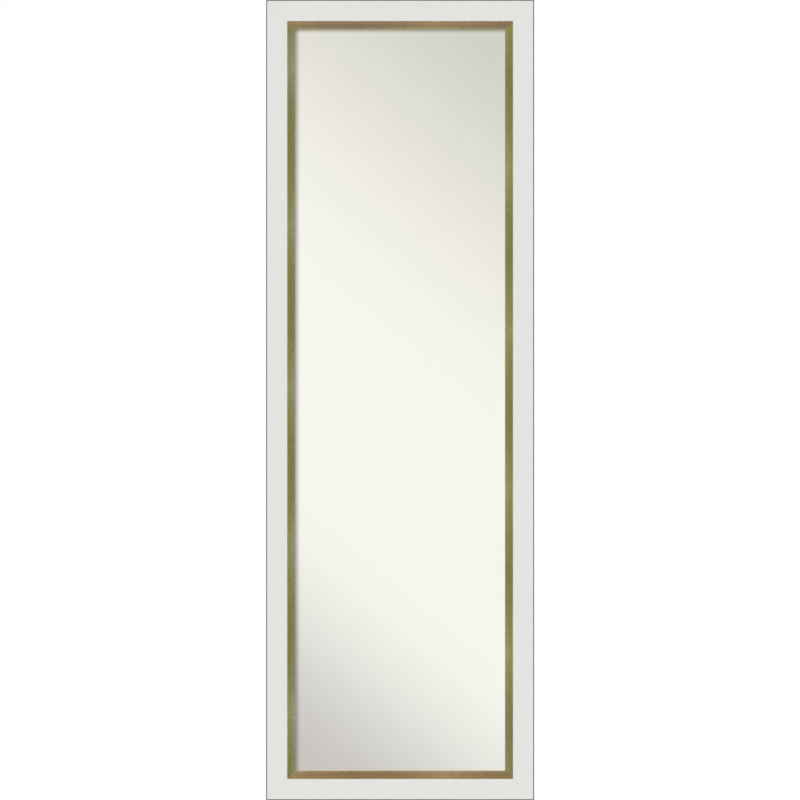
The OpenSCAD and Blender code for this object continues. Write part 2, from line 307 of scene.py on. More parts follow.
# %% Group builder
KINDS = {"c": "NodeSocketColor", "v": "NodeSocketVector", "f": "NodeSocketFloat"}


def new_effect(name, inputs, outputs):
    """A shader node group; inputs and outputs are given as 'f Size' or 'c Colour'."""
    tree = bpy.data.node_groups.new(name, "ShaderNodeTree")
    for side, sockets in (("INPUT", inputs), ("OUTPUT", outputs)):
        for word in sockets:
            tree.interface.new_socket(word[2:], in_out=side, socket_type=KINDS[word[0]])
    print("effect:", name)
    return tree, put(tree, "NodeGroupInput").outputs, put(tree, "NodeGroupOutput").inputs


def use(tree, effect, **values):
    """Places a group, with its inputs given by name. It gets its tree first, and so its sockets."""
    made = tree.nodes.new("ShaderNodeGroup")
    made.node_tree = effect
    for name, value in values.items():
        wire(tree, made.inputs[name.replace("_", " ")], value)
    return made.outputs


# %% Patches of tone
# Input Size is the patch's size in metres, Strength how far the tone swings either way.
patches, given, out = new_effect("patches", ["v Place", "c Colour", "f Size", "f Strength"],
                                 ["c Colour", "f Share"])
finer = sums(patches, "DIVIDE", 1.0, given["Size"])
cloud = noise(patches, given["Place"], finer, 3.0)
swing = sums(patches, "MULTIPLY", sums(patches, "SUBTRACT", cloud, 0.5), 2.0)
level = sums(patches, "MULTIPLY_ADD", swing, given["Strength"], 1.0)
wire(patches, out["Colour"], scaled(patches, given["Colour"], level))
wire(patches, out["Share"], cloud)

# %% Drawn grain
# Lines along one way of the piece: burnished leaf, rolled steel and the rubbed track of a screw
# head. Stretch says how much finer the pattern is along x, y and z.
drawn, given, out = new_effect("drawn grain", ["v Place", "v Stretch", "f Detail"], ["f Share"])
pulled = put(drawn, "ShaderNodeVectorMath", [given["Place"], given["Stretch"]], operation="MULTIPLY")
wire(drawn, out["Share"], noise(drawn, pulled.outputs[0], 1.0, given["Detail"]))

# %% Fibre board
# Pressed wood fibre, raw on the moulding's back and brown in the hardboard.
fibres, given, out = new_effect("fibre board", ["v Place", "c Colour", "f Size"],
                                ["c Colour", "f Height"])
finer = sums(fibres, "DIVIDE", 1.0, given["Size"])
felt = noise(fibres, given["Place"], finer, 5.0, Distortion=1.2)
flecks = put(fibres, "ShaderNodeTexVoronoi", {"Vector": given["Place"], "Scale": finer})
fleck = between(fibres, flecks.outputs["Distance"], 0.08, 0.24, 1.35, 1.0)
tone = sums(fibres, "MULTIPLY", between(fibres, felt, 0.25, 0.75, 0.78, 1.2), fleck)
wire(fibres, out["Colour"], scaled(fibres, given["Colour"], tone))
wire(fibres, out["Height"], felt)

# %% Dust
# Dust lies on what faces up, in patches.
dust, given, out = new_effect("dust", ["v Place", "f Amount"], ["f Share"])
facing = split(dust, put(dust, "ShaderNodeNewGeometry").outputs["Normal"])[2]
lying = between(dust, facing, 0.6, 0.95)
patchy = between(dust, noise(dust, given["Place"], 90.0, 4.0), 0.35, 0.75)
wire(dust, out["Share"], sums(dust, "MULTIPLY", sums(dust, "MULTIPLY", lying, patchy), given["Amount"]))


# %% Start of a finish
def new_finish(name, **plain):
    """A material with one Principled shader, whose plain values sit on its own sockets."""
    finish = bpy.data.materials.new(name)
    tree = bare_tree(finish)
    shader = put(tree, "ShaderNodeBsdfPrincipled")
    put(tree, "ShaderNodeOutputMaterial", [shader.outputs[0]])
    for socket, value in plain.items():
        shader.inputs[socket.replace("_", " ")].default_value = value
    place = put(tree, "ShaderNodeTexCoord").outputs["Object"]
    print("finish:", name)
    return finish, tree, shader.inputs, place


def raised(tree, sockets, height, depth):
    """Lets a height between 0 and 1 stand depth metres proud."""
    bump = put(tree, "ShaderNodeBump", {"Strength": 1.0, "Distance": depth, "Height": height})
    wire(tree, sockets["Normal"], bump.outputs[0])


def from_sides(tree, place):
    """How far a point lies in from the frame's nearer side, and from its nearer end."""
    x, _, z = split(tree, place)
    side = sums(tree, "SUBTRACT", half_wide, sums(tree, "ABSOLUTE", x))
    end = sums(tree, "SUBTRACT", half_high, sums(tree, "ABSOLUTE", sums(tree, "SUBTRACT", z, mid_z)))
    return side, end


def from_edge(tree, place):
    """How far a point lies in from the frame's outer edge, all round."""
    return sums(tree, "MINIMUM", *from_sides(tree, place))


def saw_cut(tree, side, end, width):
    """The hairline where two lengths meet: there a point is as far from the side as the end."""
    off_cut = sums(tree, "ABSOLUTE", sums(tree, "SUBTRACT", side, end))
    return between(tree, off_cut, 0.2 * width, width, 1.0, 0.0)


# %% [markdown]
# ## White moulding
# The moulding is sprayed satin white on its face, and its sides are black, with the paint
# reaching just over the outer arris: in the picture that is the dark hairline round the whole
# frame. The back is raw fibre board with a mist of overspray from the sides. One material does
# all three, told apart by where a point lies, because real paint ends where the gun did. Where
# two lengths meet, the pattern jumps, and a hair-fine line shows the saw cut.

# %% White paint
black_in, black_blur, black_wander = 1.35 * MM, 0.15 * MM, 0.15 * MM
raw_board = seen(171, 142, 106)
white_paint, tree, sockets, place = new_finish("white_paint", Specular_IOR_Level=0.4)
side, end = from_sides(tree, place)
edge_in = sums(tree, "MINIMUM", side, end)
depth_y = split(tree, place)[1]
cut = saw_cut(tree, side, end, 0.3 * MM)
jump = scaled(tree, (0.37, 0.11, 0.23), sums(tree, "GREATER_THAN", side, end))
own = put(tree, "ShaderNodeVectorMath", [place, jump]).outputs[0]
tone = use(tree, patches, Place=own, Colour=seen(228, 228, 224), Size=0.11, Strength=0.012)
raw = use(tree, fibres, Place=own, Colour=raw_board, Size=0.0008)
pale = blend(tree, 0.4, raw["Colour"], raw_board)
cloudy = use(tree, patches, Place=own, Colour=pale, Size=0.05, Strength=0.1)
on_back = between(tree, depth_y, back_y - 0.4 * MM, back_y - 0.1 * MM)
in_rabbet = sums(tree, "MULTIPLY", sums(tree, "GREATER_THAN", edge_in, wall_in - 0.2 * MM),
                 sums(tree, "GREATER_THAN", depth_y, lip_y - 0.6 * MM))
bare = sums(tree, "MAXIMUM", on_back, in_rabbet)
mist = noise(tree, place, 1100.0, 3.0, Roughness=0.7)
drift = noise(tree, place, 24.0, 2.0)
reach = sums(tree, "MULTIPLY_ADD", drift, 5 * MM, 1 * MM)
thick = between(tree, edge_in, 0.0, reach, 0.86, 0.14)
sprayed = sums(tree, "MULTIPLY", on_back, between(tree, sums(tree, "ADD", mist, thick), 0.78, 1.3))
wander = sums(tree, "MULTIPLY_ADD", sums(tree, "SUBTRACT", drift, 0.5), black_wander, edge_in)
over = between(tree, wander, black_in, black_in + black_blur, 1.0, 0.0)
black = sums(tree, "MAXIMUM", sprayed, sums(tree, "MULTIPLY", over, sums(tree, "SUBTRACT", 1.0, bare)))
colour = blend(tree, bare, tone["Colour"], cloudy["Colour"])
dark = use(tree, patches, Place=place, Colour=(0.013, 0.013, 0.0135, 1), Size=0.03, Strength=0.25)
colour = blend(tree, black, colour, dark["Colour"])
colour = blend(tree, sums(tree, "MULTIPLY", cut, 0.3), colour, (0.1, 0.09, 0.075, 1))
lint = use(tree, dust, Place=place, Amount=0.07)
colour = blend(tree, lint["Share"], colour, (0.32, 0.31, 0.29, 1))
wire(tree, sockets["Base Color"], colour)
peel = noise(tree, own, 620.0, 1.5)
gloss = between(tree, peel, 0.3, 0.7, 0.36, 0.43)
gloss = sums(tree, "MULTIPLY_ADD", bare, 0.42, gloss)
wire(tree, sockets["Roughness"], sums(tree, "MINIMUM", gloss, 0.9))
skin = blend(tree, bare, peel, raw["Height"])
skin = blend(tree, sums(tree, "MULTIPLY", black, 0.7), skin, (0.5, 0.5, 0.5, 1))
raised(tree, sockets, blend(tree, cut, skin, (0, 0, 0, 1)), 0.03 * MM)

# %% [markdown]
# ## Gilt
# The liner is leafed in a dull antique gold. The picture shows olive gold on the uprights and a
# browner gold on the level lengths, both with soft lighter bands about 26 cm apart, and a
# greyer tone towards the glass. At the upper left and the lower right corner the greyer tone
# spreads outwards. All four lengths share one effect, built once: it is told how far a point
# lies along the length and in from the edge, and mixes a low, a high and an inner tone.
# Leaf is metal, so most of its look comes from gloss: the burnish runs along the length, each
# flake of leaf has its own, and where it is rubbed through, the dark ground shows and is matt.
# The brightest burnish lines and the worn crest and nose are also lightened in colour: painted
# glints and a painted highlight.
# The liner's back is bare wood, with a ragged lap of gold over the rabbet's edge.

# %% Gilt effect
gilding, given, out = new_effect(
    "gilding",
    ["v Place", "f Along", "f Inwards", "f Bright at", "f Bright every", "f Greyer", "v Brushed",
     "c Low", "c High", "c Inner tint"],
    ["c Colour", "f Metal", "f Roughness", "f Height"])
half = sums(gilding, "MULTIPLY", given["Bright every"], 0.5)
away = sums(gilding, "PINGPONG", sums(gilding, "SUBTRACT", given["Along"], given["Bright at"]), half)
near = sums(gilding, "SUBTRACT", 1.0, sums(gilding, "DIVIDE", away, half))
band = sums(gilding, "POWER", near, 1.8)
colour = blend(gilding, band, given["Low"], given["High"])
inner = between(gilding, given["Inwards"], sight_in - 8 * MM, sight_in - 1 * MM)
inner = sums(gilding, "MAXIMUM", inner, given["Greyer"])
greyed = blend(gilding, 1.0, colour, given["Inner tint"], "MULTIPLY")
colour = blend(gilding, inner, colour, greyed)
brushed = use(gilding, drawn, Place=given["Place"], Stretch=given["Brushed"], Detail=4.0)["Share"]
flakes = put(gilding, "ShaderNodeTexVoronoi",
             {"Vector": given["Place"], "Scale": 420.0, "Randomness": 1.0}).outputs["Color"]
flake = split(gilding, flakes)[0]
leaf = noise(gilding, given["Place"], 300.0, 6.0, Roughness=0.62)
mottle = noise(gilding, given["Place"], 95.0, 3.0, Distortion=0.6)
# Colour streaks follow the burnish, and the brightest lines are lifted further: a painted glint.
painted_glint = sums(gilding, "MULTIPLY", between(gilding, brushed, 0.58, 0.7), 0.12)
grain_and_glint = sums(gilding, "ADD", between(gilding, brushed, 0.25, 0.75, 0.93, 1.05), painted_glint)
level = sums(gilding, "MULTIPLY", grain_and_glint, between(gilding, mottle, 0.25, 0.75, 0.94, 1.06))
level = sums(gilding, "MULTIPLY", level, sums(gilding, "MULTIPLY_ADD", flake, 0.07, 0.965))
toned = scaled(gilding, colour, level)
# The crest and the nose are worn: rubbed through more often and a little smoother. Their colour is also
# lifted by up to 0.4, a painted highlight along both edges.
on_crest = between(gilding, given["Inwards"], face_in + 0.7 * MM, face_in + 2.1 * MM, 1.0, 0.0)
on_nose = between(gilding, given["Inwards"], sight_in - 1 * MM, sight_in - 0.1 * MM)
worn_and_highlit = sums(gilding, "MULTIPLY", sums(gilding, "MAXIMUM", on_crest, on_nose),
               between(gilding, leaf, 0.3, 0.6, 0.3, 1.0))
toned = scaled(gilding, toned, sums(gilding, "MULTIPLY_ADD", worn_and_highlit, 0.4, 1.0))
rubbed = between(gilding, sums(gilding, "MULTIPLY_ADD", worn_and_highlit, 0.02, leaf), 0.665, 0.72)
gilt = blend(gilding, sums(gilding, "MULTIPLY", rubbed, 0.6), toned, (0.1, 0.052, 0.026, 1))
wood = blend(gilding, brushed, seen(158, 124, 84), seen(214, 184, 142))
depth = split(gilding, given["Place"])[1]
lap = sums(gilding, "MULTIPLY_ADD", leaf, 2.4 * MM, depth)
bare = between(gilding, lap, plate_y + 1.8 * MM, plate_y + 2.0 * MM)
wire(gilding, out["Colour"], blend(gilding, bare, gilt, wood))
metal = sums(gilding, "MULTIPLY_ADD", rubbed, -0.5, 0.85)
wire(gilding, out["Metal"], sums(gilding, "MULTIPLY", metal, sums(gilding, "SUBTRACT", 1.0, bare)))
gloss = sums(gilding, "MULTIPLY_ADD", flake, 0.1, between(gilding, brushed, 0.3, 0.7, 0.34, 0.18))
gloss = sums(gilding, "MULTIPLY_ADD", worn_and_highlit, -0.06, gloss)
wire(gilding, out["Roughness"], sums(gilding, "MULTIPLY_ADD", bare, 0.4, gloss))
grain = sums(gilding, "MULTIPLY_ADD", brushed, 0.6, sums(gilding, "MULTIPLY", leaf, 0.25))
wire(gilding, out["Height"], sums(gilding, "MULTIPLY_ADD", rubbed, -0.15, grain))


# %% Upright and level gilt
def new_gilt(name, run, bright_at, brushed, low, high, inner, greyer=(0, 1, 0)):
    """A gilt whose bands run along axis number run; greyer says from where, to where and how much."""
    finish, tree, sockets, place = new_finish(name)
    side, end = from_sides(tree, place)
    along = split(tree, place)[run]
    start, stop, share = greyer
    tone = use(tree, gilding, Place=place, Along=along, Inwards=sums(tree, "MINIMUM", side, end),
               Bright_at=bright_at, Bright_every=bands_apart, Brushed=brushed, Low=low, High=high,
               Inner_tint=inner, Greyer=between(tree, along, start, stop, 0.0, share))
    cut = sums(tree, "MULTIPLY", saw_cut(tree, side, end, 0.22 * MM), 0.6)
    wire(tree, sockets["Base Color"], blend(tree, cut, tone["Colour"], (0.06, 0.04, 0.022, 1)))
    wire(tree, sockets["Metallic"], tone["Metal"])
    wire(tree, sockets["Roughness"], tone["Roughness"])
    raised(tree, sockets, tone["Height"], 0.09 * MM)
    return finish


fine, coarse, bands_apart = 2400, 14, 0.262
# The four gilts are copies of one gold, coloured length by length: the olive of the uprights and the brown of
# the level lengths are a painted reflection of the different parts of the room that each length faces.
gilt_left = new_gilt("gilt_left", 2, mid_z + 0.546, (fine, fine, coarse),
                     seen(141, 141, 74), seen(162, 163, 101), (1.045, 0.944, 1.91, 1),
                     (mid_z + 0.425, mid_z + 0.49, 0.5))
gilt_right = new_gilt("gilt_right", 2, mid_z + 0.377, (fine, fine, coarse),
                      seen(144, 144, 75), seen(167, 166, 95), (0.968, 0.927, 1.828, 1),
                      (mid_z - 0.445, mid_z - 0.495, 0.35))
gilt_top = new_gilt("gilt_top", 0, 0.057, (coarse, fine, fine),
                    seen(152, 127, 96), seen(174, 149, 105), (1.028, 1.256, 1.334, 1))
gilt_bottom = new_gilt("gilt_bottom", 0, 0.073, (coarse, fine, fine),
                       seen(138, 115, 71), seen(163, 138, 94), (1.245, 1.299, 1.837, 1))

# %% [markdown]
# ## Mirror plate
# Silver behind clear glass: to a shader that is a metal, almost perfectly smooth, with the
# faint yellow-green of the glass in it. A cloth never gets right into the corner between plate
# and liner, so the silver is a little duller in a narrow rim there. Along the left and the top
# the silver is darkened softly: a painted shadow of the liner, which a mirror doesn't take. Along
# the right and the bottom a thin cream tint is a painted reflection of the gilt. Each side gets
# its own width and tint.

# %% Silvered plate
silvered, tree, sockets, place = new_finish("silvered_plate", Metallic=1.0)
x, y, z = split(tree, place)
z = sums(tree, "SUBTRACT", z, mid_z)
colour, glass_green, grey_coat = (0.921, 0.921, 0.855, 1), (0.16, 0.3, 0.24, 1), (0.2, 0.21, 0.22, 1)
# Left and top: a painted shadow of the liner. Right and bottom: a thin painted reflection of the gilt.
EDGES = ((x, 1, half_wide, 9.0, (0.50, 0.49, 0.43, 1)), (z, -1, half_high, 7.0, (0.51, 0.50, 0.42, 1)),
         (x, -1, half_wide, 6.0, (1.0, 0.98, 0.90, 1)), (z, 1, half_high, 4.5, (1.0, 0.97, 0.84, 1)))
for axis, way_in, half, width, tint in EDGES:
    inside = sums(tree, "MULTIPLY_ADD", axis, way_in, half - sight_in)
    edge = between(tree, inside, 0.0, width * MM, 1.0, 0.0)
    colour = blend(tree, edge, colour, blend(tree, 1.0, colour, tint, "MULTIPLY"))
inside = sums(tree, "SUBTRACT", from_edge(tree, place), sight_in)
smear = noise(tree, place, 60.0, 3.0)
film = between(tree, inside, 0.0, sums(tree, "MULTIPLY_ADD", smear, 3 * MM, 2 * MM), 1.0, 0.0)
behind = between(tree, y, plate_y + 0.4 * MM, plate_y + 0.5 * MM)
coat = between(tree, y, plate_back_y - 0.2 * MM, plate_back_y - 0.05 * MM)
colour = blend(tree, behind, colour, glass_green)
colour = blend(tree, coat, colour, grey_coat)
wire(tree, sockets["Base Color"], colour)
dull = sums(tree, "MULTIPLY_ADD", film, 0.06, 0.012)
wire(tree, sockets["Roughness"], sums(tree, "MAXIMUM", dull, sums(tree, "MULTIPLY", coat, 0.6)))

# %% [markdown]
# ## Board, metal, rubber and foam
# The hidden side is what one sees when the mirror is lifted off the door. Hardboard is brown
# pressed fibre, and its rough side keeps the print of the screen it was pressed on. The hooks
# are zinc-plated strap with rolling marks, and the screw heads have rubbed bright lines into
# it on both sides of the slot. Rubber and foam are nearly black and matt, and differ in grain.

# %% Hardboard
hardboard, tree, sockets, place = new_finish("hardboard", Roughness=0.82)
pressed = use(tree, fibres, Place=place, Colour=seen(140, 104, 72), Size=0.0011)
tone = use(tree, patches, Place=place, Colour=pressed["Colour"], Size=0.09, Strength=0.12)
x, _, z = split(tree, place)
screen_wide = 1.6 * MM
pitch = 2 * math.pi / screen_wide
weft = sums(tree, "SINE", sums(tree, "MULTIPLY", x, pitch))
warp = sums(tree, "SINE", sums(tree, "MULTIPLY", z, pitch))
screen = sums(tree, "MULTIPLY", weft, warp)
printed = scaled(tree, tone["Colour"], sums(tree, "MULTIPLY_ADD", screen, 0.09, 1.0))
wire(tree, sockets["Base Color"], printed)
raised(tree, sockets, sums(tree, "MULTIPLY_ADD", screen, 0.35, pressed["Height"]), 0.12 * MM)

# %% Zinc strap
zinc, tree, sockets, place = new_finish("zinc_strap", Metallic=1.0)
rolled = use(tree, drawn, Place=place, Stretch=(2600, 60, 60), Detail=3.0)["Share"]
tone = use(tree, patches, Place=place, Colour=(0.58, 0.59, 0.605, 1), Size=0.012, Strength=0.1)
x, y, z = split(tree, place)
off_slot = sums(tree, "ABSOLUTE", sums(tree, "SUBTRACT", sums(tree, "ABSOLUTE", x), hook_x))
in_track = between(tree, off_slot, head_wide / 2 - 0.4 * MM, head_wide / 2 + 0.2 * MM, 1.0, 0.0)
on_front_leg = sums(tree, "LESS_THAN", y, back_y + 3 * MM)
in_track = sums(tree, "MULTIPLY", in_track, on_front_leg)
scratch = use(tree, drawn, Place=place, Stretch=(5200, 12, 12), Detail=1.0)["Share"]
rubbed = sums(tree, "MULTIPLY", in_track, between(tree, scratch, 0.52, 0.62))
colour = blend(tree, sums(tree, "MULTIPLY", rubbed, 0.5), tone["Colour"], (0.76, 0.76, 0.75, 1))
sheared = between(tree, off_slot, hook_half - 0.2 * MM, hook_half - 0.05 * MM)
colour = blend(tree, sheared, colour, (0.42, 0.42, 0.43, 1))
settled = use(tree, dust, Place=place, Amount=0.2)["Share"]
wire(tree, sockets["Base Color"], blend(tree, settled, colour, (0.5, 0.49, 0.47, 1)))
gloss = between(tree, rolled, 0.3, 0.7, 0.28, 0.42)
gloss = sums(tree, "MULTIPLY_ADD", rubbed, -0.1, gloss)
wire(tree, sockets["Roughness"], sums(tree, "MULTIPLY_ADD", settled, 0.4, gloss))
raised(tree, sockets, rolled, 0.012 * MM)

# %% Bright steel
steel, tree, sockets, place = new_finish("bright_steel", Metallic=1.0)
tone = use(tree, patches, Place=place, Colour=(0.6, 0.6, 0.59, 1), Size=0.004, Strength=0.14)
wire(tree, sockets["Base Color"], tone["Colour"])
wire(tree, sockets["Roughness"], between(tree, tone["Share"], 0.3, 0.7, 0.24, 0.4))
raised(tree, sockets, tone["Share"], 0.02 * MM)

# %% Bumper rubber
rubber, tree, sockets, place = new_finish("bumper_rubber")
tone = use(tree, patches, Place=place, Colour=(0.035, 0.035, 0.036, 1), Size=0.005, Strength=0.2)
bloom = use(tree, dust, Place=place, Amount=0.35)["Share"]
wire(tree, sockets["Base Color"], blend(tree, bloom, tone["Colour"], (0.3, 0.29, 0.27, 1)))
wire(tree, sockets["Roughness"], between(tree, tone["Share"], 0.3, 0.7, 0.55, 0.75))
raised(tree, sockets, noise(tree, place, 2600.0, 2.0), 0.03 * MM)

# %% Foam
foam, tree, sockets, place = new_finish("foam", Roughness=0.9)
cells = put(tree, "ShaderNodeTexVoronoi", {"Vector": place, "Scale": 1500.0}).outputs["Distance"]
tone = use(tree, patches, Place=place, Colour=(0.05, 0.05, 0.054, 1), Size=0.006, Strength=0.15)
shade = between(tree, cells, 0.1, 0.6, 0.7, 1.15)
wire(tree, sockets["Base Color"], scaled(tree, tone["Colour"], shade))
raised(tree, sockets, cells, 0.12 * MM)

# %% [markdown]
# ## Finishes for the solids that stay
# Most solids already have the right shape, so they only get their material. The strap hooks
# and the bumpers also get a small bevel: sheared steel and moulded rubber have soft edges that
# catch the light. A bevel wants whole faces, so the solid's loose triangles are welded and
# their flat neighbours dissolved into one face before it. It isn't clamped, because one short
# edge anywhere would thin it everywhere, and hardened normals keep the flat faces flat.

# %% Finish the solids
sheared_edge, moulded_edge = 0.25 * MM, 0.5 * MM
FINISHES = {
    white_paint: ["rail_top", "rail_bottom", "stile_left", "stile_right"],
    silvered: ["mirror_glass"],
    hardboard: ["backing_board"],
    zinc: ["hook_left", "hook_right"],
    rubber: ["bumper_top_left", "bumper_top_right", "bumper_bottom_left", "bumper_bottom_right"],
}
for finish, names in FINISHES.items():
    for name in names:
        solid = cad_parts[name]
        solid.data.materials.clear()
        solid.data.materials.append(finish)
for name in FINISHES[zinc] + FINISHES[rubber]:
    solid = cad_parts[name]
    seam = solid.modifiers.new("seams", "WELD")
    seam.merge_threshold = 0.02 * MM
    plain = solid.modifiers.new("plain faces", "DECIMATE")
    plain.decimate_type = "DISSOLVE"
    plain.angle_limit = math.radians(0.5)
    edge = solid.modifiers.new("soft edge", "BEVEL")
    edge.width = sheared_edge if name in FINISHES[zinc] else moulded_edge
    edge.segments = 3
    edge.limit_method = "ANGLE"
    edge.angle_limit = math.radians(40)
    edge.use_clamp_overlap = False
    edge.harden_normals = True
print("solids finished:", sum(len(n) for n in FINISHES.values()))

# %% [markdown]
# ## Makers
# What repeats, or follows a rule, is made by Geometry Nodes. Each maker is a node tree with
# named sizes. It runs once on a small starting mesh, and its result is kept as a plain mesh,
# because a live tree of instances would be lost when the model is exported.

# %% Maker helpers
MAKER_KINDS = {"f": "NodeSocketFloat", "i": "NodeSocketInt", "o": "NodeSocketObject",
               "m": "NodeSocketMaterial"}


def new_maker(name, sizes):
    """A geometry node tree; sizes are given as 'f Length' or 'm Finish'."""
    tree = bpy.data.node_groups.new(name, "GeometryNodeTree")
    tree.interface.new_socket("Start", in_out="INPUT", socket_type="NodeSocketGeometry")
    for word in sizes:
        tree.interface.new_socket(word[2:], in_out="INPUT", socket_type=MAKER_KINDS[word[0]])
    tree.interface.new_socket("Made", in_out="OUTPUT", socket_type="NodeSocketGeometry")
    return tree, put(tree, "NodeGroupInput").outputs


def close_maker(tree, shape, finish):
    """Ends a tree: real geometry, in its finish."""
    real = put(tree, "GeometryNodeRealizeInstances", [shape])
    dressed = put(tree, "GeometryNodeSetMaterial", {"Geometry": real.outputs[0], "Material": finish})
    put(tree, "NodeGroupOutput", [dressed.outputs[0]])
    print(f"maker {tree.name}: {len(tree.nodes)} nodes")


def run_maker(name, tree, start, sizes):
    """Runs a maker on a starting mesh, and keeps the result as a plain mesh object."""
    holder = bpy.data.objects.new(name + "_holder", start)
    scene.collection.objects.link(holder)
    maker = holder.modifiers.new("maker", "NODES")
    maker.node_group = tree
    for item in tree.interface.items_tree:
        if item.in_out == "INPUT" and item.name in sizes:
            maker[item.identifier] = sizes[item.name]
    ready = holder.evaluated_get(bpy.context.evaluated_depsgraph_get())
    mesh = bpy.data.meshes.new_from_object(ready)
    bpy.data.objects.remove(holder)
    mesh.name = name
    mesh.shade_smooth()
    mesh.set_sharp_from_angle(angle=math.radians(32))
    piece = bpy.data.objects.new(name, mesh)
    scene.collection.objects.link(piece)
    print(f"{name}: {len(mesh.polygons)} faces")
    return piece


def moved_by(tree, shape, x=0.0, y=0.0, z=0.0, turn=0.0, scale=(1, 1, 1)):
    """Moves a shape in a tree; each shift may be a socket, and turn is about its own axis."""
    shift = put(tree, "ShaderNodeCombineXYZ", [x, y, z]).outputs[0]
    wires = {"Geometry": shape, "Translation": shift, "Rotation": (0, 0, turn), "Scale": scale}
    return put(tree, "GeometryNodeTransform", wires).outputs[0]


# %% [markdown]
# ## Gilt liner
# A frame maker runs one moulding and saws it into four lengths with mitred ends. The maker does
# the same: it takes the section as one flat face, draws it out, and slides each end by the
# point's distance from the outer edge, which is exactly a 45 degree cut. The scoop gets a much
# finer arc than the solid has, and the edges of its crest are eased, so light rolls over it.

# %% Mitred length maker
mitred, given = new_maker("mitred length", ["f Half length", "f Middle to side", "f Turn", "m Finish"])
drawn_out = put(mitred, "GeometryNodeExtrudeMesh",
                {"Mesh": given["Start"], "Offset": (0, 0, 1), "Offset Scale": 1.0, "Individual": False},
                mode="FACES")
other_end = put(mitred, "GeometryNodeFlipFaces", [given["Start"]])
both = put(mitred, "GeometryNodeJoinGeometry")
mitred.links.new(other_end.outputs[0], both.inputs[0])
mitred.links.new(drawn_out.outputs["Mesh"], both.inputs[0])
closed = put(mitred, "GeometryNodeMergeByDistance", {"Geometry": both.outputs[0], "Distance": 1e-7})
inward, proud, end = split(mitred, put(mitred, "GeometryNodeInputPosition").outputs[0])
way = sums(mitred, "MULTIPLY_ADD", end, 2.0, -1.0)
along = sums(mitred, "MULTIPLY", way, sums(mitred, "SUBTRACT", given["Half length"], inward))
outward = sums(mitred, "SUBTRACT", inward, given["Middle to side"])
depth = sums(mitred, "SUBTRACT", back_y, proud)
spot = put(mitred, "ShaderNodeCombineXYZ", [along, depth, outward])
placed = put(mitred, "GeometryNodeSetPosition", {"Geometry": closed.outputs[0], "Position": spot.outputs[0]})
about_y = put(mitred, "ShaderNodeCombineXYZ", [0.0, given["Turn"], 0.0])
turned = put(mitred, "GeometryNodeTransform",
             {"Geometry": placed.outputs[0], "Translation": (0, 0, mid_z), "Rotation": about_y.outputs[0]})
close_maker(mitred, turned.outputs[0], given["Finish"])


# %% Section of the liner
def arc(centre, radius, start, end, steps):
    """Points on an arc, from one angle to another, in degrees."""
    angles = [math.radians(start + (end - start) * i / steps) for i in range(steps + 1)]
    return [(centre[0] + radius * math.cos(a), centre[1] + radius * math.sin(a)) for a in angles]


def liner_section():
    """The liner's outline: in from the frame's outer edge, and up from its back plane."""
    lip, plate, back, front = [back_y - y for y in (lip_y, plate_y, liner_back_y, liner_front_y)]
    shadow_gap, crest_wide, land_wide, land_thick = 0.3 * MM, 0.8 * MM, 1.8 * MM, 2.5 * MM
    hollow, nose_r, ease_r = 0.9 * MM, 0.8 * MM, 0.35 * MM
    shoulder_in = face_in + shadow_gap
    crest = Vector((shoulder_in + crest_wide, front))
    land = Vector((sight_in - land_wide, plate + land_thick))
    chord = (land - crest).length
    out = Vector((crest.y - land.y, land.x - crest.x)) / chord
    radius = ((chord / 2) ** 2 + hollow ** 2) / (2 * hollow)
    middle = (crest + land) / 2 + out * (radius - hollow)
    start = math.degrees(math.atan2(*reversed(land - middle)))
    end = math.degrees(math.atan2(*reversed(crest - middle)))
    scoop = arc(middle, radius, start, end, 28)
    nose = arc((sight_in - nose_r, land.y - nose_r), nose_r, 0, 90, 10)
    shoulder = arc((shoulder_in + ease_r, front - ease_r), ease_r, 90, 180, 6)
    hidden_side = [(shoulder_in, lip), (tongue_in, lip), (tongue_in, back), (rabbet_in, back),
                   (rabbet_in, plate), (sight_in, plate)]
    return hidden_side + nose + scoop + shoulder


outline = [(inward, proud, 0) for inward, proud in liner_section()]
section = bpy.data.meshes.new("liner section")
section.from_pydata(outline, [], [tuple(range(len(outline)))])
print("liner section points:", len(outline))

# %% Four liner lengths
LENGTHS = {
    "gilt_liner_bottom": ("liner_bottom", half_wide, half_high, 0, gilt_bottom),
    "gilt_liner_top": ("liner_top", half_wide, half_high, 180, gilt_top),
    "gilt_liner_left": ("liner_left", half_high, half_wide, 90, gilt_left),
    "gilt_liner_right": ("liner_right", half_high, half_wide, -90, gilt_right),
}
for name, (node, half_length, to_side, turn, finish) in LENGTHS.items():
    length = run_maker(name, mitred, section, {
        "Half length": half_length, "Middle to side": to_side, "Turn": math.radians(turn),
        "Finish": finish})
    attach(length, "frame")
    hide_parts(node)

# %% [markdown]
# ## Small steel pieces, set out on seats
# Glazing points, V nails and screws are the same piece many times over. The pattern is made
# once, and a maker sets a copy on every seat: a vertex that carries the angle at which the
# piece is driven. Points that are pushed in by hand never stand quite square, so the maker also
# takes a sway and a seed. All of these pieces stay with the frame.

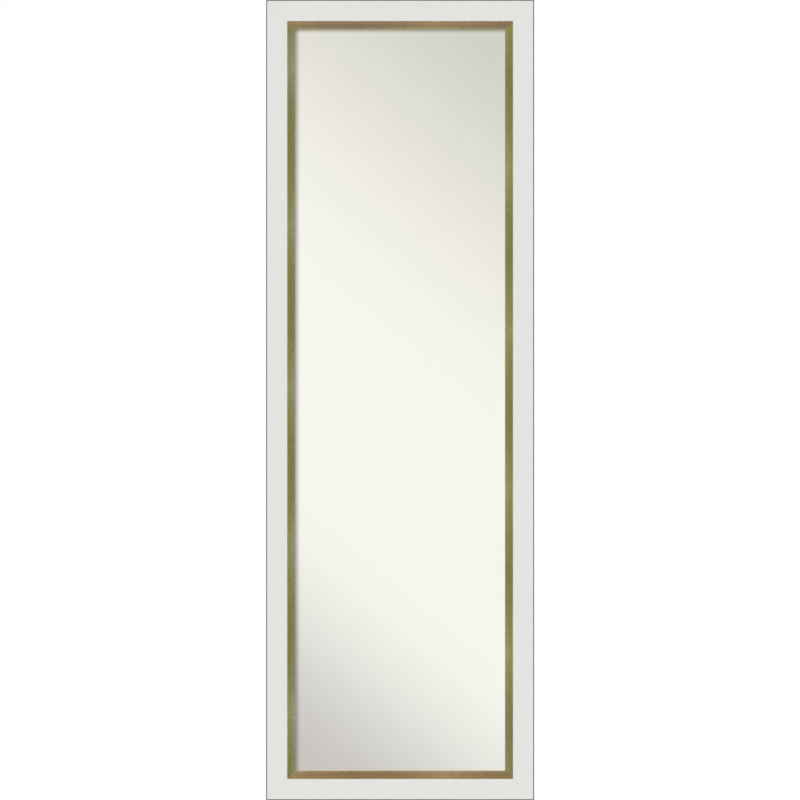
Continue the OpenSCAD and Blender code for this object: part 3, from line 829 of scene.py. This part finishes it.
# %% Seat maker
seats, given = new_maker("pieces on seats", ["o Pattern", "f Sway", "i Seed", "m Finish"])
pattern = put(seats, "GeometryNodeObjectInfo", {"Object": given["Pattern"]})
driven = put(seats, "GeometryNodeInputNamedAttribute", {"Name": "turn"}, data_type="FLOAT")
least = sums(seats, "MULTIPLY", given["Sway"], -1.0)
chance = put(seats, "FunctionNodeRandomValue", {2: least, 3: given["Sway"], "Seed": given["Seed"]},
             data_type="FLOAT")
angle = sums(seats, "ADD", driven.outputs[0], chance.outputs[1])
about_y = put(seats, "ShaderNodeCombineXYZ", [0.0, angle, 0.0])
copies = put(seats, "GeometryNodeInstanceOnPoints",
             {"Points": given["Start"], "Instance": pattern.outputs["Geometry"],
              "Rotation": about_y.outputs[0]})
close_maker(seats, copies.outputs[0], given["Finish"])


def seat_mesh(name, rows):
    """Rows of (x, y, z, turn in degrees), as vertices that carry their turn."""
    mesh = bpy.data.meshes.new(name)
    mesh.from_pydata([row[:3] for row in rows], [], [])
    turns = mesh.attributes.new("turn", "FLOAT", "POINT")
    for seat, row in zip(turns.data, rows):
        seat.value = math.radians(row[3])
    return mesh


def set_out(name, pattern, rows, node, sway=0.0, seed=1):
    """Copies of a pattern on their seats, as one piece that stands for a node."""
    piece = run_maker(name, seats, seat_mesh(name + " seats", rows), {
        "Pattern": pattern, "Sway": sway, "Seed": seed, "Finish": steel})
    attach(piece, "frame")
    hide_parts(node)


def plate_pattern(name, outline, y0, y1, ease):
    """A flat plate cut to an (x, z) outline, from y0 to y1, with eased edges."""
    cut = bmesh.new()
    base = cut.faces.new([cut.verts.new((x, y0, z)) for x, z in outline])
    drawn_face = bmesh.ops.extrude_face_region(cut, geom=[base])
    moved = [v for v in drawn_face["geom"] if isinstance(v, bmesh.types.BMVert)]
    bmesh.ops.translate(cut, verts=moved, vec=(0, y1 - y0, 0))
    bmesh.ops.recalc_face_normals(cut, faces=cut.faces)
    bmesh.ops.bevel(cut, geom=list(cut.edges), offset=ease, segments=1, affect="EDGES")
    return keep(name, cut)


# %% Glazing points
point_half, point_out, point_in, point_thick = 3.5 * MM, 7.5 * MM, 5 * MM, 0.5 * MM
widest_gap = 170 * MM
point = plate_pattern("point_pattern", [
    (-point_half, point_out), (point_half, point_out), (point_half, -point_in / 2), (0, -point_in),
    (-point_half, -point_in / 2)], -point_thick, 0, 0.08 * MM)
rows = []
for turn, run_half, out_half in ((0, half_wide, half_high), (180, half_wide, half_high),
                                 (90, half_high, half_wide), (-90, half_high, half_wide)):
    run = 2 * (run_half - rabbet_in)
    count = math.ceil(run / widest_gap)
    for i in range(count):
        x, z = run * ((i + 0.5) / count - 0.5), rabbet_in - out_half
        c, s = round(math.cos(math.radians(turn))), round(math.sin(math.radians(turn)))
        rows.append((x * c + z * s, board_y + point_thick, mid_z - x * s + z * c, turn))
set_out("steel_points", point, rows, "glazing_points", sway=math.radians(2.5), seed=7)
bpy.data.objects.remove(point)
print("glazing points:", len(rows))

# %% V nails
leg, sheet = 6 * MM, 0.6 * MM
deep_y, near_y = [corner.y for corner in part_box("corner_v_nails")]
nail = plate_pattern("nail_pattern", [(0, 0), (leg, 0), (leg, sheet), (sheet, sheet), (sheet, leg), (0, leg)],
                     deep_y, near_y, 0.06 * MM)
rows = []
for turn, x_side, z_side in ((0, -1, -1), (90, -1, 1), (180, 1, 1), (-90, 1, -1)):
    for share in (0.15, 0.55):
        inset = wall_in * share
        rows.append((x_side * (half_wide - inset), 0, mid_z + z_side * (half_high - inset), turn))
set_out("v_nails", nail, rows, "corner_v_nails")
bpy.data.objects.remove(nail)
print("V nails:", len(rows))

# %% [markdown]
# ## Hook screws
# A truss-head wood screw: a wide low dome that bears on the strap, a cross recess, a plain neck
# where it passes the slot, and a thread that only shows when the screw is out. The maker lifts
# the rings of a flat disc onto a ball, sinks a tapered cross into the dome, winds the thread
# along a spiral, and unites head, neck, core, tip and thread in one closed solid. Uniting
# leaves slivers on flat faces, so these are dissolved before the copies are set out.

# %% Screw maker
screw, given = new_maker("truss screw", ["f Head width", "f Head height", "f Shank width",
                                         "f Length", "f Thread pitch", "m Finish"])
head_r = sums(screw, "MULTIPLY", given["Head width"], 0.5)
rise = given["Head height"]
flat_rim = sums(screw, "MULTIPLY", rise, 0.16)
swell = sums(screw, "SUBTRACT", rise, flat_rim)
ball_r = sums(screw, "DIVIDE", sums(screw, "ADD", sums(screw, "MULTIPLY", head_r, head_r),
                                    sums(screw, "MULTIPLY", swell, swell)),
              sums(screw, "MULTIPLY", swell, 2.0))
blank = put(screw, "GeometryNodeMeshCylinder",
            {"Vertices": 56, "Fill Segments": 12, "Radius": head_r, "Depth": flat_rim},
            fill_type="TRIANGLE_FAN")
blank = moved_by(screw, blank.outputs["Mesh"], z=sums(screw, "MULTIPLY", flat_rim, 0.5))
spot = put(screw, "GeometryNodeInputPosition").outputs[0]
x, y, z = split(screw, spot)
out_r = from_axis(screw, spot)
ball_z = sums(screw, "SQRT", sums(screw, "SUBTRACT", sums(screw, "MULTIPLY", ball_r, ball_r),
                                  sums(screw, "MULTIPLY", out_r, out_r)))
lift = sums(screw, "ADD", ball_z, sums(screw, "SUBTRACT", rise, ball_r))
on_top = sums(screw, "GREATER_THAN", z, sums(screw, "MULTIPLY", flat_rim, 0.5))
domed = put(screw, "ShaderNodeCombineXYZ", [x, y, lift]).outputs[0]
dome = put(screw, "GeometryNodeSetPosition", {"Geometry": blank, "Selection": on_top, "Position": domed})
wing_r = sums(screw, "MULTIPLY", given["Head width"], 0.33)
wing = put(screw, "GeometryNodeMeshCone",
           {"Vertices": 4, "Radius Top": wing_r, "Radius Bottom": sums(screw, "MULTIPLY", wing_r, 0.45),
            "Depth": sums(screw, "MULTIPLY", rise, 0.7)})
flat_wing = moved_by(screw, wing.outputs["Mesh"], turn=math.radians(45))
sunk = put(screw, "GeometryNodeMeshBoolean", [dome.outputs[0]], operation="DIFFERENCE",
           solver="MANIFOLD")
for turn in (0, 90):
    thin = moved_by(screw, flat_wing, z=sums(screw, "MULTIPLY", rise, 0.42), scale=(1, 0.24, 1))
    screw.links.new(moved_by(screw, thin, turn=math.radians(turn)), sunk.inputs[1])
neck_long, ridge_r = 3 * MM, 0.55 * MM
neck_r = sums(screw, "MULTIPLY", given["Shank width"], 0.5)
core_r = sums(screw, "MULTIPLY", given["Shank width"], 0.36)
thread_run = sums(screw, "SUBTRACT", given["Length"], sums(screw, "ADD", given["Shank width"], neck_long))
neck = put(screw, "GeometryNodeMeshCylinder",
           {"Vertices": 32, "Radius": neck_r, "Depth": neck_long + 0.2 * MM})
neck = moved_by(screw, neck.outputs["Mesh"], z=-neck_long / 2)
core = put(screw, "GeometryNodeMeshCylinder",
           {"Vertices": 24, "Radius": core_r, "Depth": sums(screw, "ADD", thread_run, 1 * MM)})
core = moved_by(screw, core.outputs["Mesh"], z=sums(screw, "MULTIPLY_ADD", thread_run, -0.5, -neck_long))
tip = put(screw, "GeometryNodeMeshCone",
          {"Vertices": 24, "Radius Top": core_r, "Radius Bottom": 0.0, "Depth": given["Shank width"]})
tip = moved_by(screw, tip.outputs["Mesh"], z=sums(screw, "MULTIPLY", given["Length"], -1.0))
turns = sums(screw, "DIVIDE", thread_run, given["Thread pitch"])
coil = put(screw, "GeometryNodeCurveSpiral",
           {"Resolution": 24, "Rotations": turns, "Start Radius": core_r, "End Radius": core_r,
            "Height": thread_run})
ridge = put(screw, "GeometryNodeCurvePrimitiveCircle", {"Resolution": 4, "Radius": ridge_r})
thread = put(screw, "GeometryNodeCurveToMesh",
             {"Curve": coil.outputs[0], "Profile Curve": ridge.outputs[0], "Fill Caps": True})
thread = moved_by(screw, thread.outputs[0], z=sums(screw, "SUBTRACT", -neck_long, thread_run))
whole = put(screw, "GeometryNodeMeshBoolean", operation="UNION", solver="MANIFOLD")
for part in (sunk.outputs[0], neck, core, tip, thread):
    screw.links.new(part, whole.inputs[1])
clean = put(screw, "GeometryNodeMergeByDistance", {"Geometry": whole.outputs[0], "Distance": 0.01 * MM})
upright = put(screw, "GeometryNodeTransform",
              {"Geometry": clean.outputs[0], "Rotation": (math.radians(-90), 0, 0)})
close_maker(screw, upright.outputs[0], given["Finish"])

# %% Screws in their slots
one_screw = run_maker("screw_pattern", screw, bpy.data.meshes.new("nothing"), {
    "Head width": head_wide, "Head height": 2.2 * MM, "Shank width": 4.2 * MM, "Length": 14 * MM,
    "Thread pitch": 1.7 * MM, "Finish": steel})
shell = bmesh.new()
shell.from_mesh(one_screw.data)
bmesh.ops.dissolve_limit(shell, angle_limit=math.radians(0.1), verts=shell.verts, edges=shell.edges)
bmesh.ops.triangulate(shell, faces=[face for face in shell.faces if len(face.verts) > 4])
shell.to_mesh(one_screw.data)
shell.free()
print("screw without slivers:", len(one_screw.data.polygons), "faces")
for side, x, turns in (("left", -hook_x, (12, 64)), ("right", hook_x, (-31, 40))):
    low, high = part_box("hook_screws_" + side)
    heights = (high.z - head_wide / 2, low.z + head_wide / 2)
    rows = [(x, back_y + strap_thick, z, turn) for z, turn in zip(heights, turns)]
    set_out("screws_" + side, one_screw, rows, "hook_screws_" + side)
bpy.data.objects.remove(one_screw)


# %% [markdown]
# ## Foam pads
# Self-adhesive foam keeps the steel off the door's paint, one pad under the top of each hook
# and one inside its rear leg. A pad is a slab with rounded corners whose open face is softly
# eased. It is flat where it rests, so it is modelled directly and not blown up by simulation.

# %% Foam pads
def foam_pad(name, node, thin):
    """A rounded slab in a node's box; thin is the axis of its thickness."""
    corner_r, ease = 2.2 * MM, 0.4 * MM
    low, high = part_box(node)
    size = high - low
    slab = bmesh.new()
    bmesh.ops.create_cube(slab, size=1)
    bmesh.ops.scale(slab, vec=size, verts=slab.verts)
    corners = [e for e in slab.edges
               if abs(abs((e.verts[0].co - e.verts[1].co)[thin]) - size[thin]) < 1e-6]
    bmesh.ops.bevel(slab, geom=corners, offset=corner_r, segments=7, profile=0.5, affect="EDGES")
    rims = [e for e in slab.edges if len(e.link_faces) == 2 and e.calc_face_angle() > 1]
    bmesh.ops.bevel(slab, geom=rims, offset=ease, segments=4, profile=0.6, affect="EDGES")
    bmesh.ops.translate(slab, verts=slab.verts, vec=(low + high) / 2)
    pad = keep(name, slab)
    pad.data.materials.append(foam)
    pad.data.shade_smooth()
    pad.data.set_sharp_from_angle(angle=math.radians(50))
    print(f"{name}: {len(pad.data.polygons)} faces")
    return pad


for side in ("left", "right"):
    for spot, thin in (("top", 2), ("rear", 1)):
        node = f"{spot}_pad_{side}"
        pad = foam_pad(f"foam_{spot}_{side}", node, thin)
        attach(pad, "hook_" + side)
        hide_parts(node)

# %% [markdown]
# ## Last step
# Blender only dresses the object, so its box stays the solids' box. The scene is brought up to date.

# %% Bring the scene up to date
bpy.context.view_layer.update()
